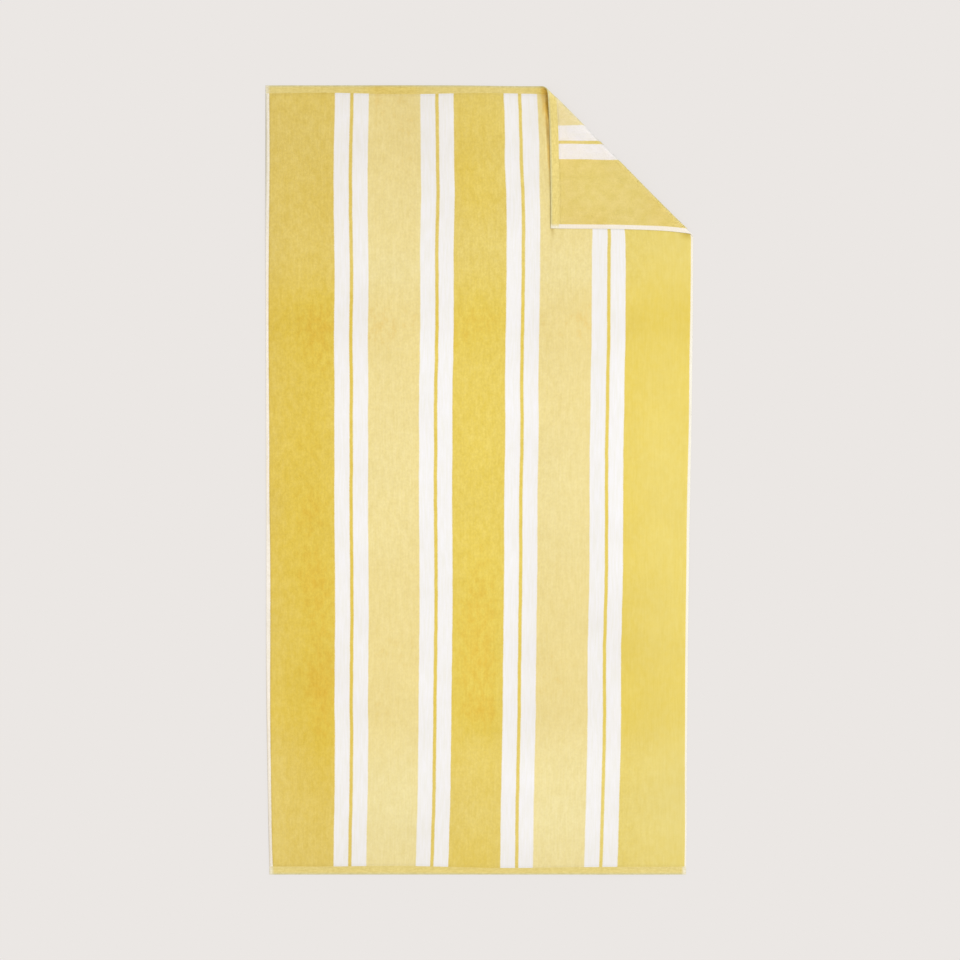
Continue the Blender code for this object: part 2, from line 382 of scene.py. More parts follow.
def cutBendLines(flat):
    # straight lines of vertices down the fold, so that the bend is round
    shares = [(i / towelMesh["bendLines"], 0) for i in range(towelMesh["bendLines"] + 1)]
    shares += [(1, (i + 1) / towelMesh["settleLines"]) for i in range(towelMesh["settleLines"])]
    bendFrom = towelMesh["bendFrom"] * root2
    for turn, settle in shares:
        ends = []
        for end in (0, -1):
            along, radius = cornerBend["along"][end], cornerBend["radius"][end]
            beyond = radius * (math.pi * turn + cornerBend["settlePerRadius"] * settle)
            out, down = float(leavesFloor(along)) + beyond, along + cornerBend["start"]
            ends.append(Vector(((out + down) / root2, (out - down) / root2)))
        run = ends[1] - ends[0]
        near = [f for f in flat.faces if f.calc_center_median().dot((1, 1, 0)) > bendFrom]
        verts = {v for f in near for v in f.verts}
        edges = {e for f in near for e in f.edges}
        bmesh.ops.bisect_plane(flat, geom=[*verts, *edges, *near], dist=towelMesh["snap"],
                               plane_co=(*ends[0], 0), plane_no=(-run.y, run.x, 0))


def inwardSteps(flat):
    # for each vertex on the outline, the direction that points into the cloth
    squares = {}
    for edge in flat.edges:
        if edge.is_boundary:
            start, end = (v.co.xy for v in edge.verts)
            square = (end - start).orthogonal().normalized()
            if square.dot(edge.link_faces[0].calc_center_median().xy - start) < 0:
                square = -square
            for v in edge.verts:
                squares.setdefault(v.index, []).append(square)
    steps = {}
    for index, (first, second) in squares.items():
        atCorner = first.dot(second) < 0.5
        steps[index] = (first + second) / (1 if atCorner else 2)
    return steps


def flatParts():
    # the flat cloth as arrays: its plan, its places on the cloth, its faces and the edges of its rim
    flat = flatCloth()
    cutBendLines(flat)
    bmesh.ops.triangulate(flat, faces=[f for f in flat.faces if len(f.verts) > 4])
    flat.verts.index_update()
    place = flat.verts.layers.float_vector["place"]
    plan = np.array([v.co.xy for v in flat.verts])
    cloth = np.array([v[place].xy for v in flat.verts])
    faces = [[v.index for v in f.verts] for f in flat.faces]
    rim = [edge.link_loops[0] for edge in flat.edges if edge.is_boundary]
    rimEdges = [(side.vert.index, side.link_loop_next.vert.index) for side in rim]
    inward = inwardSteps(flat)
    flat.free()

    steps = np.zeros_like(plan)
    for index, step in inward.items():
        steps[index] = step
    waver = softNoises(cloth[:, 0], cloth[:, 1], pileRelief["wavers"])
    steps *= (towelCut["rimBulge"] + pileRelief["edgeWaver"] * waver)[:, None]
    return plan, cloth, faces, rimEdges, steps, sorted(inward)


def layRings(plan, cloth, steps, onRim):
    # points of the face, the rings round the rim and the back; where each rim point is; where the back starts
    across, down = cloth[:, 0], cloth[:, 1]
    thick = {1: thicknessOf(across, down, False), -1: thicknessOf(across, down, True)}
    stepped = plan + steps
    points = [lay(stepped[:, 0], stepped[:, 1], thick[1], 1.0)]
    rimAt = {90: {v: v for v in onRim}}
    start = len(plan)
    for angle in towelMesh["rimAngles"]:
        sine, cosine = math.sin(math.radians(angle)), math.cos(math.radians(angle))
        ring = plan[onRim] + steps[onRim] * (1 - cosine)
        points.append(lay(ring[:, 0], ring[:, 1], thick[1 if angle > 0 else -1][onRim], sine))
        rimAt[angle] = {v: start + i for i, v in enumerate(onRim)}
        start += len(onRim)
    rimAt[-90] = {v: start + v for v in onRim}
    points.append(lay(stepped[:, 0], stepped[:, 1], thick[-1], -1.0))
    return np.concatenate(points), rimAt, start


def finishAt(across, down, onBack):
    # which of the towel's materials a face has: 0 velour, 1 loops, 2 hem, 3 selvedge
    if fromEnds(down) < towelCut["hem"]:
        return 2
    bare = pileRelief["selvedgeOnBack"] if onBack else towelMesh["wovenEdge"]
    return 3 if min(across, towelWidth - across) < bare else int(onBack)


def bakePlace(across, down, onBack):
    # the face and the back lie side by side in the map for baking
    across = across + bakeMargin + (towelWidth + 2 * bakeMargin) * onBack
    scale = 1 / (2 * towelWidth + 4 * bakeMargin)
    return across * scale, (towelLength - down + bakeMargin) * scale


def clothFaces(cloth, faces, rimEdges, steps, rimAt, backStart):
    # the corners of each face, its material, and its corners' places in the two maps
    polygons, finishes, clothUv, bakeUv = [], [], [], []
    for corners in faces:
        across, down = cloth[corners].mean(0)
        for onBack in (False, True):
            order = corners[::-1] if onBack else corners
            polygons.append([v + backStart for v in order] if onBack else order)
            finishes.append(finishAt(across, down, onBack))
            clothUv += [tuple(cloth[v]) for v in order]
            bakeUv += [bakePlace(*cloth[v], onBack) for v in order]

    angles = (90, *towelMesh["rimAngles"], -90)
    for first, second in rimEdges:
        across, down = (cloth[first] + cloth[second]) / 2
        inHem = fromEnds(down) < towelCut["hem"]
        outward = -(steps[first] + steps[second])
        outward = outward / max(float(np.hypot(*outward)), 1e-9)
        outward = np.array([outward[0], -outward[1]])  # down runs against Y
        for high, low in zip(angles, angles[1:]):
            corners = []
            for v, angle in ((second, high), (first, high), (first, low), (second, low)):
                corners.append(rimAt[angle][v])
                rolled = math.radians(90 - angle) * towelMesh["rimRadius"]
                clothUv.append(tuple(cloth[v] + outward * min(rolled, towelMesh["rimLength"] - rolled)))
                bakeUv.append(bakePlace(*(cloth[v] + outward * rolled), False))
            polygons.append(corners)
            finishes.append(2 if inHem else 3)
    return polygons, finishes, clothUv, bakeUv


# Painted shade makes the velour darker towards both ends and on its left, as the light fell on it. The way
# the nap lies makes it paler or deeper, and the sun has faded one side more than the other. Painted shade is
# by distance down from the far hem; paleness is for the deep stripes and the pale ones apart.
napAndShadeZones = {
    "down": [0.00, 0.18, 0.24, 0.32, 0.38, 0.43, 0.48, 0.53, 0.60,
             0.90, 0.98, 1.12, 1.21, 1.29, 1.37, 1.45, 1.60],
    # painted shade, by distance down
    "shade": [.915, .935, .945, .956, .960, .956, .952, .966, .984,
              .986, .983, .965, .957, .953, .966, .960, .920],
    "deep": [.106, .104, .095, .105, .084, .040, .010, .020, .026,
             .018, .014, .022, .014, .023, .067, .090, .092],
    "pale": [.000, .024, .038, .054, .080, .025, .000, .014, .028,
             .053, .033, .020, .014, .024, .095, .132, .104],
    "paleFrom": (0.100, 0.140),  # where the pale stripes begin and end, from the middle of the towel
    "paleTo": (0.210, 0.250),
    # painted shade on the left side, away from the light
    "leftShade": -0.046,
    "selvedgeShade": 0.985,
    "selvedgeBlend": 0.003,
    "bareBlend": 0.004,
    "fading": 1.2,  # power of the share across at the ends
    "midFading": 0.7,  # and how much lower it is at mid length, where the sun reached further
    "midFrom": (0.28, 0.46),  # where mid length begins and ends
    "midTo": (1.24, 1.42),
    "backHem": 0.080,  # how much paler the hem is where its back shows
    "backHemShade": -0.025,
    "backEdgeShadow": -0.075,  # and how much deeper its folded edge: the colour of a painted shadow, where the turned corner's free edge lies in shade
    "backEdgeWidth": 0.004,
    "unevenShade": ((0.016, 0.060, 21), (0.006, 0.022, 22)),  # strength, grain and seed of each noise
    "unevenPaleness": ((0.012, 0.070, 23),),
}

# softer spots of the nap's own tone and of painted light and shade: across, down, half size across, half size
# down, shade, paleness
napAndShadePatches = [
    (0.7, 1.13, 0.16, 0.3, -0.022, 0),
    (0.86, 1.45, 0.22, 0.26, -0.03, 0.055),
    (0.81, 0.92, 0.13, 0.66, 0, 0.054),
    (0.01, 0.8, 0.04, 1.1, -0.026, 0.026),
    (0.02, 1.34, 0.04, 0.45, 0.038, 0.028),
    (0.116, 0.32, 0.055, 0.3, 0, -0.016),
    (0.1, 0.55, 0.055, 0.18, 0, -0.026),
    (0.09, 1.04, 0.045, 0.15, 0, -0.022),
    (0.09, 0.84, 0.07, 0.28, -0.01, -0.027),
    (0.112, 1.28, 0.055, 0.38, 0, -0.042),
    (0.395, 0.17, 0.035, 0.16, 0, -0.03),
    (0.455, 1.34, 0.03, 0.34, 0, -0.014),
    (0.43, 1.27, 0.08, 0.06, 0, -0.016),
    (0.25, 0, 0.2, 0.3, -0.012, 0),
    (0.36, 0.49, 0.2, 0.14, 0.02, 0),
    (0.36, 1.22, 0.2, 0.18, 0.025, 0),
    (0.574, 0.85, 0.1, 0.9, -0.03, 0.004),
    (0.574, 1.44, 0.1, 0.16, 0.025, 0),
    (0.5, 0.08, 0.06, 0.2, 0.01, 0),
    (0.43, 0.14, 0.09, 0.24, 0.018, -0.054),
    (0.43, 0.47, 0.08, 0.14, 0.005, -0.025),
    (0.43, 1.14, 0.08, 0.24, 0.005, -0.042),
    (0.43, 1.37, 0.08, 0.07, 0.03, 0.015),
    (0.43, 1.57, 0.09, 0.1, 0, -0.04),
    (0.43, 0.75, 0.08, 0.75, 0.028, 0),
    (0.499, 0.42, 0.05, 0.15, 0.03, 0),
    (0.671, 0.75, 0.045, 0.6, -0.028, 0),
    (0.286, 0.06, 0.09, 0.14, -0.03, 0),
    (0.43, 0, 0.8, 0.02, -0.02, -0.01),
    (0.43, 1.6, 0.8, 0.02, 0.02, 0),
    (0.09, 0.008, 0.07, 0.02, -0.005, -0.016),  # along the far hem
    (0.27, 0.004, 0.06, 0.014, 0.04, 0.01),
    (0.575, 0.02, 0.022, 0.08, 0.19, -0.06),  # painted shadow and painted light under the turned corner's free edge
    (0.576, 0.14, 0.008, 0.24, -0.2, -0.09),
    (0.576, 0.09, 0.006, 0.045, -0.2, 0.04),
    (0.5755, 0.255, 0.006, 0.07, -0.3, -0.09),
    (0.565, 0.02, 0.012, 0.055, -0.15, -0.03),
    (0.572, 0.066, 0.005, 0.022, -0.14, -0.02),
    (0.572, 0.125, 0.006, 0.085, 0.11, 0),
    # painted shadow under the turned corner's nose
    (0.852, 0.302, 0.02, 0.015, -0.16, -0.07),
]

# the same for the bare selvedges alone: painted shade on the left one and at the near end, painted light on
# the right one
selvedgeShadePatches = [
    (0, 0.12, 0.0045, 0.26, -0.33, 0.25),  # painted shade on the shaded side of the left one
    (0, 0.12, 0.02, 0.28, -0.1, 0.1),
    (0, 1.32, 0.004, 0.3, -0.14, 0),
    (0, 1.56, 0.02, 0.16, -0.1, 0),
    (0, 1.56, 0.005, 0.16, -0.1, 0),
    (0.86, 0.9, 0.01, 1, 0.03, 0.2),
]

# painted light on the loops round the turned corner's bend, which also look paler there
bendLight = {
    "from": (0.30, 0.45),  # shares of the bend, as turnShare gives them
    "to": (0.68, 0.90),
    "shade": 0.090,
    "paleness": 0.060,
    "settled": 0.045,  # painted light where the turned cloth comes down
}

zoneShade, deepPaleness, palePaleness = columns(napAndShadeZones, "down", "shade", "deep", "pale")


def patched(patches, across, down):
    shade, paleness = np.zeros(len(across)), np.zeros(len(across))
    for *oval, dark, pale in patches:
        near = softOval(across, down, *oval)
        shade += dark * near
        paleness += pale * near
    return shade, paleness


def ramp(value, between):
    return eased((value - between[0]) / (between[1] - between[0]))


def faceNapAndShade(across, down, inHem):
    # painted shade, paleness and fading of the velour side
    fromMiddle, share = np.abs(across - halfWidth), across / towelWidth
    inPale = ramp(fromMiddle, napAndShadeZones["paleFrom"]) * (1 - ramp(fromMiddle, napAndShadeZones["paleTo"]))
    shade = zoneShade(down) + napAndShadeZones["leftShade"] * (1 - share)
    paleness = deepPaleness(down) * (1 - inPale) + palePaleness(down) * inPale
    spotShade, spotPaleness = patched(napAndShadePatches, across, down)
    edgeShade, edgePaleness = patched(selvedgeShadePatches, across, down)
    onSelvedge = eased(0.5 - pastSelvedge(across, down, False) / napAndShadeZones["selvedgeBlend"]) * (1 - inHem)
    shade = (shade + spotShade) * (1 - onSelvedge) + (napAndShadeZones["selvedgeShade"] + edgeShade) * onSelvedge
    paleness = (paleness + spotPaleness) * (1 - onSelvedge) + edgePaleness * onSelvedge
    midLength = ramp(down, napAndShadeZones["midFrom"]) * (1 - ramp(down, napAndShadeZones["midTo"]))
    return shade, paleness, share ** (napAndShadeZones["fading"] - napAndShadeZones["midFading"] * midLength)


def backNapAndShade(across, down, inHem):
    # painted light and shade, and paleness, of the looped side
    turned = turnShare(across, down)
    onBend = ramp(turned, bendLight["from"]) * (1 - ramp(turned, bendLight["to"]))
    settling = np.clip((turned - 1) * np.pi / cornerBend["settlePerRadius"], 0, 1)
    onEdge = eased(1 - down / napAndShadeZones["backEdgeWidth"]) * (turned > 1)
    shade = 1 + bendLight["shade"] * onBend + bendLight["settled"] * np.sin(np.pi * settling)
    paleness = bendLight["paleness"] * onBend + napAndShadeZones["backEdgeShadow"] * onEdge
    return shade + napAndShadeZones["backHemShade"] * inHem, paleness + napAndShadeZones["backHem"] * inHem


def napAndShadeOf(across, down, onBack):
    inHem = fromEnds(down) < towelCut["hem"]
    shade, paleness, fade = faceNapAndShade(across, down, inHem)
    backShade, backPaleness = backNapAndShade(across, down, inHem)
    shade = shade * (1 - onBack) + backShade * onBack
    paleness = paleness * (1 - onBack) + backPaleness * onBack
    shade += softNoises(across, down, napAndShadeZones["unevenShade"])
    paleness += softNoises(across, down, napAndShadeZones["unevenPaleness"])
    return shade, paleness, fade * (1 - onBack)


def addNapAndShade(mesh, across, down, onBack):
    # keeps the nap and its painted shade on the mesh for the finishes: shade, paleness, bare selvedge and
    # fading
    shade, paleness, fade = napAndShadeOf(across, down, onBack)
    bare = 0.5 - pastSelvedge(across, down, False) / napAndShadeZones["bareBlend"]
    napAndShade = mesh.attributes.new("napAndShade", "FLOAT_COLOR", "POINT")
    values = np.stack([shade, paleness, np.clip(bare, 0, 1) * (onBack < 0.5), fade], -1)
    napAndShade.data.foreach_set("color", values.astype(np.float32).ravel())


def linked(name, data):
    made = bpy.data.objects.new(name, data)
    bpy.context.scene.collection.objects.link(made)
    return made


def makePiece(name, points, polygons, clothUv, bakeUv, materials):
    mesh = bpy.data.meshes.new(name)
    mesh.from_pydata(points.tolist(), [], polygons)
    for layerName, places in (("clothPlace", clothUv), ("OFBake", bakeUv)):
        layer = mesh.uv_layers.new(name=layerName)
        layer.data.foreach_set("uv", np.array(places, np.float32).ravel())
    for material in materials:
        mesh.materials.append(material)
    mesh.shade_smooth()
    print(name + ":", sum(len(p) - 2 for p in polygons), "triangles")
    return linked(name, mesh)


def makeTowel(materials):
    plan, cloth, faces, rimEdges, steps, onRim = flatParts()
    points, rimAt, backStart = layRings(plan, cloth, steps, onRim)
    polygons, finishes, clothUv, bakeUv = clothFaces(cloth, faces, rimEdges, steps, rimAt, backStart)
    towel = makePiece(towelMesh["name"], points, polygons, clothUv, bakeUv, materials)
    towel.data.polygons.foreach_set("material_index", finishes)
    rings = [np.full(len(onRim), 0.5 - angle / 180) for angle in towelMesh["rimAngles"]]
    onBack = np.concatenate([np.zeros(len(cloth)), *rings, np.ones(len(cloth))])
    across, down = np.concatenate([cloth, *([cloth[onRim]] * len(rings)), cloth]).T
    addNapAndShade(towel.data, across, down, onBack)
    towel.data.update()
    return towel


# linear base colours
cottonColours = {
    "deep": (0.568, 0.420, 0.050),
    "faded": (0.606, 0.490, 0.092),
    "pale": (0.648, 0.552, 0.234),
    "white": (0.679, 0.690, 0.696),
    "bloom": (0.710, 0.810, 0.660),  # what a pale nap mixes in
    "selvedge": (0.672, 0.645, 0.575),
    "hem": (0.603, 0.490, 0.142),
    # the hem's rolled edge: darker with painted shade where it rounds over
    "hemEdgeShaded": (0.525, 0.475, 0.220),
    "hemEnd": (0.660, 0.620, 0.480),
    "backDeep": (0.626, 0.523, 0.176),
    "backPale": (0.672, 0.593, 0.325),
    "backWhite": (0.702, 0.690, 0.676),
    "thread": (0.660, 0.550, 0.210),
}


class Nodes:
    def __init__(self, name):
        self.material = bpy.data.materials.new(name)
        self.material.use_nodes = True
        self.tree = self.material.node_tree
        self.shader = self.tree.nodes["Principled BSDF"]

    def add(self, kind, inputs=(), **settings):
        node = self.tree.nodes.new("ShaderNode" + kind)
        for key, value in settings.items():
            setattr(node, key, value)
        for key, value in dict(inputs).items():
            self.put(node.inputs[key], value)
        return node

    def put(self, socket, value):
        if isinstance(value, bpy.types.NodeSocket):
            self.tree.links.new(value, socket)
        else:
            socket.default_value = value

    def setShader(self, inputs):
        for key, value in inputs.items():
            self.put(self.shader.inputs[key], value)

    def math(self, operation, *values, clamp=False):
        return self.add("Math", enumerate(values), operation=operation, use_clamp=clamp).outputs[0]

    def mix(self, share, first, second, blend="MIX"):
        colours = {0: share, 6: first, 7: second}
        return self.add("Mix", colours, data_type="RGBA", blend_type=blend).outputs[2]

    def clothPlace(self):
        return self.add("UVMap", uv_map="clothPlace").outputs[0]

    def acrossAndDown(self):
        split = self.add("SeparateXYZ", {0: self.clothPlace()})
        return split.outputs[0], split.outputs[1]

    def place(self, sizeAcross, sizeDown):
        # the cloth's own coordinates, in units of one grain across and down
        size = (1 / sizeAcross, 1 / sizeDown, 0)
        return self.add("VectorMath", {0: self.clothPlace(), 1: size}, operation="MULTIPLY").outputs[0]

    def noise(self, sizeAcross, sizeDown, detail, roughness):
        where = self.place(sizeAcross, sizeDown)
        inputs = {"Vector": where, "Scale": 1.0, "Detail": detail, "Roughness": roughness}
        return self.add("TexNoise", inputs, noise_dimensions="2D").outputs[0]

    def ranged(self, value, *ends):
        names = ("Value", "From Min", "From Max", "To Min", "To Max")
        return self.add("MapRange", zip(names, (value, *ends))).outputs[0]


def rgba(name):
    return (*cottonColours[name], 1.0)


# grain of each finish: size across and down, spread, detail, roughness, contrast, and its share in blue
grains = {
    "tuft": (0.0016, 0.0027, 0.22, 3.0, 0.65, 0.068, 1.0),
    "blotch": (0.0046, 0.0056, 0.20, 1.0, 0.50, 0.070, 1.0),
    "mottle": (0.0120, 0.0200, 0.20, 3.0, 0.60, 0.060, 1.9),
    "streak": (0.0034, 0.0450, 0.20, 2.0, 0.50, 0.035, 3.0),
    "clump": (0.0048, 0.0052, 0.20, 3.0, 0.60, 0.038, 2.5),
    "patch": (0.0170, 0.0230, 0.20, 3.0, 0.60, 0.070, 4.0),
    "slub": (0.0120, 0.0028, 0.20, 3.0, 0.60, 0.140, 2.0),
    "cloud": (0.0060, 0.0060, 0.20, 3.0, 0.60, 0.080, 2.0),
    "weft": (0.0030, 0.0011, 0.20, 2.0, 0.60, 0.100, 1.0),
    "rib": (0.0060, 0.0016, 0.20, 2.0, 0.60, 0.080, 1.0),
}

# a noise is its size across and down, detail and roughness; a range is two ends and what they give
velour = {
    "fuzz": (0.0011, 0.0022, 2.0, 0.6),
    "edgeFuzz": 0.0013,  # how far single tufts stray over a stripe's edge
    "waver": (0.40, 0.045, 2.0, 0.5),
    "edgeWaver": 0.0009,
    "edgeSoftness": 0.0018,
    "depthByBlue": (0.10, 0.65, 1.0, 0.15),  # the grains show least on white,
    "depthByFading": (0.80, 0.95, 1.0, 0.20),  # on the smoother, faded side
    "depthByDown": (0.80, 1.20, 1.0, 0.78),  # and towards the near end
    "yellowByBlue": (0.30, 0.60, 1.0, 0.0),
    "mottlePaleness": 0.018,
    "bareFuzz": 0.5,  # how much of the fuzz shows along the bare selvedge
    "selvedgeByBare": (0.35, 0.65, 0.0, 1.0),
    "fine": (0.0007, 0.0010, 2.0, 0.6),
    "fineHeight": 1.2,
}

# how fast a negative paleness takes green and blue away, and the powers of the painted shade that make it
# warmer where it is darker
shadeAndNapTint = {
    "deeperGreen": 2.5,
    "deeperBlue": 7.0,
    "shadeGreen": 1.15,
    "shadeBlue": 1.4,
}

# how each finish takes the light: roughness, sheen, and the height of its bump in metres
cottonFinishes = {
    "velour": (0.95, 0.22, 0.00011),
    "loops": (0.95, 0.12, 0.00030),
    "loopYarn": (0.95, 0.12, 0.00005),
    "thread": (0.60, 0.05, 0.00004),
    "hem": (0.85, 0.08, 0.00005),
    "selvedge": (0.85, 0.08, 0.00006),
    "specular": 0.12,
    "sheenRoughness": 0.55,
}


def stripeColour(nodes, across, colours, widths, softness):
    # the warp stripes, mirrored about the middle of the towel
    fromMiddle = nodes.math("ABSOLUTE", nodes.math("SUBTRACT", across, halfWidth))
    names = [colours[name] for name, _ in warpStripes]
    colour, edge = rgba(names[0]), 0.0
    for size, name in zip(widths, names[1:]):
        edge += size
        inside = halfWidth - edge
        within = nodes.ranged(fromMiddle, inside - softness / 2, inside + softness / 2, 1, 0)
        colour = nodes.mix(within, colour, rgba(name))
    return colour


def napAndShadeParts(nodes):
    # painted shade, paleness, bare selvedge and fading, as kept on the mesh
    napAndShade = nodes.add("Attribute", attribute_name="napAndShade")
    parts = nodes.add("SeparateColor", {0: napAndShade.outputs["Color"]})
    return (*parts.outputs[:3], napAndShade.outputs["Alpha"])


def nappedAndShaded(nodes, colour, yellows=1.0, stray=0.0):
    # paled or deepened where it is yellow, then darkened by painted shade, which is warmer where it is darker
    shade, paleness, _, _ = napAndShadeParts(nodes)
    paleness = nodes.math("MULTIPLY", nodes.math("ADD", paleness, stray), yellows)
    paled = nodes.mix(paleness, colour, rgba("bloom"))
    below = nodes.math("MINIMUM", paleness, 0.0)
    green = nodes.math("MULTIPLY_ADD", below, shadeAndNapTint["deeperGreen"], 1.0, clamp=True)
    blue = nodes.math("MULTIPLY_ADD", below, shadeAndNapTint["deeperBlue"], 1.0, clamp=True)
    deeper = nodes.add("CombineColor", {0: 1.0, 1: green, 2: blue})
    paled = nodes.mix(1.0, paled, deeper.outputs[0], "MULTIPLY")
    green = nodes.math("POWER", shade, shadeAndNapTint["shadeGreen"])
    blue = nodes.math("POWER", shade, shadeAndNapTint["shadeBlue"])
    tint = nodes.add("CombineColor", {0: shade, 1: green, 2: blue})
    return nodes.mix(1.0, paled, tint.outputs[0], "MULTIPLY")


def grain(nodes, name):
    # noise from -1 to 1 about 0
    sizeAcross, sizeDown, spread, detail, roughness, _, _ = grains[name]
    value = nodes.noise(sizeAcross, sizeDown, detail, roughness)
    return nodes.ranged(value, 0.5 - spread, 0.5 + spread, -1, 1)


def speckled(nodes, colour, value, contrast, blueShare=1.0):
    # value from -1 to 1 darkens and lightens the colour, its green a little more than its red
    parts = {}
    for part, share in enumerate((1.0, shadeAndNapTint["shadeGreen"], blueShare)):
        parts[part] = nodes.math("MULTIPLY_ADD", value, nodes.math("MULTIPLY", contrast, 0.5 * share), 1.0)
    shade = nodes.add("CombineColor", parts)
    return nodes.mix(1.0, colour, shade.outputs[0], "MULTIPLY")


def grained(nodes, colour, name, depth=1.0, value=None):
    contrast, blueShare = grains[name][-2:]
    value = grain(nodes, name) if value is None else value
    return speckled(nodes, colour, value, nodes.math("MULTIPLY", depth, contrast), blueShare)


def finishCotton(nodes, finish, colour, height, strength=1.0):
    roughness, sheen, bumpHeight = cottonFinishes[finish]
    bump = nodes.add("Bump", {"Strength": strength, "Distance": bumpHeight, "Height": height})
    nodes.setShader({"Base Color": colour, "Roughness": roughness, "Normal": bump.outputs[0],
                     "Specular IOR Level": cottonFinishes["specular"], "Sheen Weight": sheen,
                     "Sheen Roughness": cottonFinishes["sheenRoughness"]})
    return nodes.material


def velourMaterial():
    nodes = Nodes("cotton velour, striped")
    across, down = nodes.acrossAndDown()
    _, _, bare, fade = napAndShadeParts(nodes)
    fuzz = nodes.math("SUBTRACT", nodes.noise(*velour["fuzz"]), 0.5)
    waver = nodes.math("SUBTRACT", nodes.noise(*velour["waver"]), 0.5)
    moved = nodes.math("MULTIPLY_ADD", fuzz, velour["edgeFuzz"] * 2, across)
    moved = nodes.math("MULTIPLY_ADD", waver, velour["edgeWaver"] * 2, moved)
    stripes = []
    for yellow in ("deep", "faded"):
        names = {"selvedge": yellow, "deep": yellow, "pale": "pale", "white": "white"}
        widths = [size for _, size in warpStripes]
        stripes.append(stripeColour(nodes, moved, names, widths, velour["edgeSoftness"]))
    colour = nodes.mix(fade, *stripes)

    blue = nodes.add("SeparateColor", {0: colour}).outputs[2]
    depth = nodes.ranged(blue, *velour["depthByBlue"])
    depth = nodes.math("MULTIPLY", depth, nodes.ranged(fade, *velour["depthByFading"]))
    depth = nodes.math("MULTIPLY", depth, nodes.ranged(down, *velour["depthByDown"]))
    tufts, mottle = grain(nodes, "tuft"), grain(nodes, "mottle")
    stray = nodes.math("MULTIPLY", mottle, velour["mottlePaleness"])
    colour = nappedAndShaded(nodes, colour, nodes.ranged(blue, *velour["yellowByBlue"]), stray)
    edge = nodes.math("MULTIPLY_ADD", fuzz, velour["bareFuzz"], bare)
    onSelvedge = nodes.ranged(edge, *velour["selvedgeByBare"])
    colour = nodes.mix(onSelvedge, colour, nappedAndShaded(nodes, rgba("selvedge")))

    colour = grained(nodes, colour, "tuft", depth, tufts)
    colour = grained(nodes, colour, "blotch", depth)
    colour = grained(nodes, colour, "mottle", depth, mottle)
    colour = grained(nodes, colour, "streak")
    height = nodes.math("MULTIPLY_ADD", nodes.noise(*velour["fine"]), velour["fineHeight"], tufts)
    return finishCotton(nodes, "velour", colour, height, depth)


loops = {
    "stripeMore": (0.0006, 0.0002, -0.0006),  # how the loops' lean widens the deep, white and thin stripes
    "fuzz": (0.0016, 0.0016, 2.0, 0.6),
    "edgeFuzz": 0.0022,
    "edgeSoftness": 0.0012,
    "cell": (0.0022, 0.0026),
    "shadeByCell": (0.10, 0.75, 1.0, -1.0),
    "cellContrast": 0.07,
    "depthByBlue": (0.35, 0.65, 1.0, 0.35),
    "yarn": (0.0003, 0.0003, 2.0, 0.6),
}


def backStripes(nodes, across):
    names = {"selvedge": "selvedge", "deep": "backDeep", "pale": "backPale", "white": "backWhite"}
    widths = [size for _, size in warpStripes]
    widths[0] = pileRelief["selvedgeOnBack"]
    widths[1] += warpStripes[0][1] - widths[0]
    for i, more in enumerate(loops["stripeMore"]):
        widths[i + 1] += more
    return stripeColour(nodes, across, names, widths, loops["edgeSoftness"])


def loopedColour(nodes):
    across, _ = nodes.acrossAndDown()
    fuzz = nodes.math("SUBTRACT", nodes.noise(*loops["fuzz"]), 0.5)
    colour = backStripes(nodes, nodes.math("MULTIPLY_ADD", fuzz, loops["edgeFuzz"], across))
    blue = nodes.add("SeparateColor", {0: colour}).outputs[2]
    depth = nodes.ranged(blue, *loops["depthByBlue"])
    colour = grained(nodes, nappedAndShaded(nodes, colour), "clump", depth)
    return grained(nodes, colour, "patch", depth)


def loopedMaterial():
    nodes = Nodes("cotton loops, striped")
    # painted shade between the loops: each cell darker away from its middle
    cell = {"Vector": nodes.place(*loops["cell"]), "Scale": 1.0}
    distance = nodes.add("TexVoronoi", cell, voronoi_dimensions="2D").outputs["Distance"]
    cells = nodes.ranged(distance, *loops["shadeByCell"])
    colour = speckled(nodes, loopedColour(nodes), cells, loops["cellContrast"])
    return finishCotton(nodes, "loops", colour, nodes.math("SUBTRACT", 1.0, distance))


def loopYarnMaterial():
    nodes = Nodes("cotton loop yarn")
    return finishCotton(nodes, "loopYarn", loopedColour(nodes), nodes.noise(*loops["yarn"]))


sewingThread = {
    "twist": (0.0004, 0.0002, 1.0, 0.5),
    "shadeByTwist": (0.3, 0.7, -1.0, 1.0),
    "contrast": 0.10,
}


def threadMaterial():
    nodes = Nodes("sewing thread")
    twist = nodes.noise(*sewingThread["twist"])
    plies = nodes.ranged(twist, *sewingThread["shadeByTwist"])
    colour = speckled(nodes, nappedAndShaded(nodes, rgba("thread")), plies, sewingThread["contrast"])
    return finishCotton(nodes, "thread", colour, twist)


flatWeave = {
    "edgeByEnd": (0.0010, 0.0050, 1.0, 0.0),  # the hem's folded edge, darker with painted shade, by the distance from the towel's end
    "hemEnds": (0.010, 0.004),  # how far from its sides the hem pales
    "slubHeight": 0.6,
    "hemPitch": 0.0011,
    "ribHeight": 0.7,
    "selvedgePitch": 0.0013,
}


def weaveHeight(nodes, pitch, thicker, share):
    # plain weave: warp and weft cross over and under, over the thicker yarns
    across, down = nodes.acrossAndDown()
    turns = 2 * math.pi / pitch
    warp = nodes.math("SINE", nodes.math("MULTIPLY", across, turns))
    weft = nodes.math("SINE", nodes.math("MULTIPLY", down, turns))
    return nodes.math("MULTIPLY_ADD", thicker, share, nodes.math("MULTIPLY", warp, weft))


